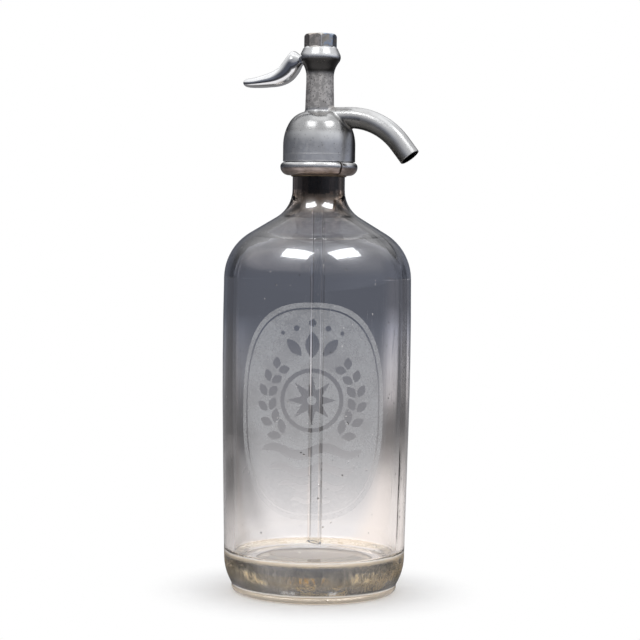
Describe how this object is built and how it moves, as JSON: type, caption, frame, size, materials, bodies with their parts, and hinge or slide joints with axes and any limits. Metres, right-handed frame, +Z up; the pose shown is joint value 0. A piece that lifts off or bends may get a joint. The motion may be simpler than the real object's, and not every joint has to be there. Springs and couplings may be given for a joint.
{
  "type": "soda siphon",
  "caption": "Glass soda siphon: a thick bottle under a screwed-on metal head, whose thumb lever lifts a sprung valve so that gas drives the drink up a dip tube and out of a bent spout.",
  "frame": {"origin": "centre of the ring that the bottle stands on", "axes": "+Z up the bottle's axis, +X from the axis towards the spout, -X towards the lever"},
  "size_m": [0.107, 0.1014, 0.3008],
  "materials": {
    "bottle_glass": "clear thick blown glass, faintly smoky, lightly scratched",
    "tube_glass": "clear drawn glass tube",
    "rubber": "dull black rubber",
    "vulcanite": "dark moulded hard rubber",
    "liner": "aged brown rubber and fibre",
    "collar_metal": "worn bright tin alloy",
    "head_metal": "aged tin alloy with a soft shine and dark pits",
    "brass": "turned brass",
    "lever_metal": "polished by use, dark in the hollows",
    "pin_steel": "turned steel",
    "spring_steel": "drawn wire",
    "cap_metal": "dull, tarnished tin alloy"
  },
  "bodies": {
    "bottle_and_head": {"bottle": "bottle_glass", "dip_tube": "tube_glass", "tube_sleeve": "rubber", "tube_holder": "vulcanite", "mouth_gasket": "rubber", "head_seal": "rubber", "neck_liner": "liner", "collar_half_front": "collar_metal", "collar_half_rear": "collar_metal", "head_body": "head_metal", "spout": "head_metal", "valve_seat": "brass", "stem_packing": "rubber", "packing_ring": "brass", "gland_nut": "brass", "lever_pin": "pin_steel", "valve_spring": "spring_steel", "cap_washer": "liner", "top_cap": "cap_metal"},
    "lever": {"lever": "lever_metal"},
    "stem": {"valve_stem": "brass", "valve_cup": "brass", "valve_washer": "rubber"}
  },
  "joints": [
    {"name": "lever_pivot", "type": "hinge", "parent": "bottle_and_head", "child": "lever", "pos_m": [-0.0086, 0, 0.2874], "axis": [0, -1, 0], "range_deg": [0, 14], "stiffness_Nm_per_rad": 0.4, "springref_deg": -17.19},
    {"name": "stem_lift", "type": "slide", "parent": "bottle_and_head", "child": "stem", "axis": [0, 0, 1], "range_m": [0, 0.0022], "deforming": ["valve_spring"]}
  ],
  "couplings": [
    {"joint": "stem_lift", "follows": "lever_pivot", "m_per_rad": 0.0086}
  ]
}
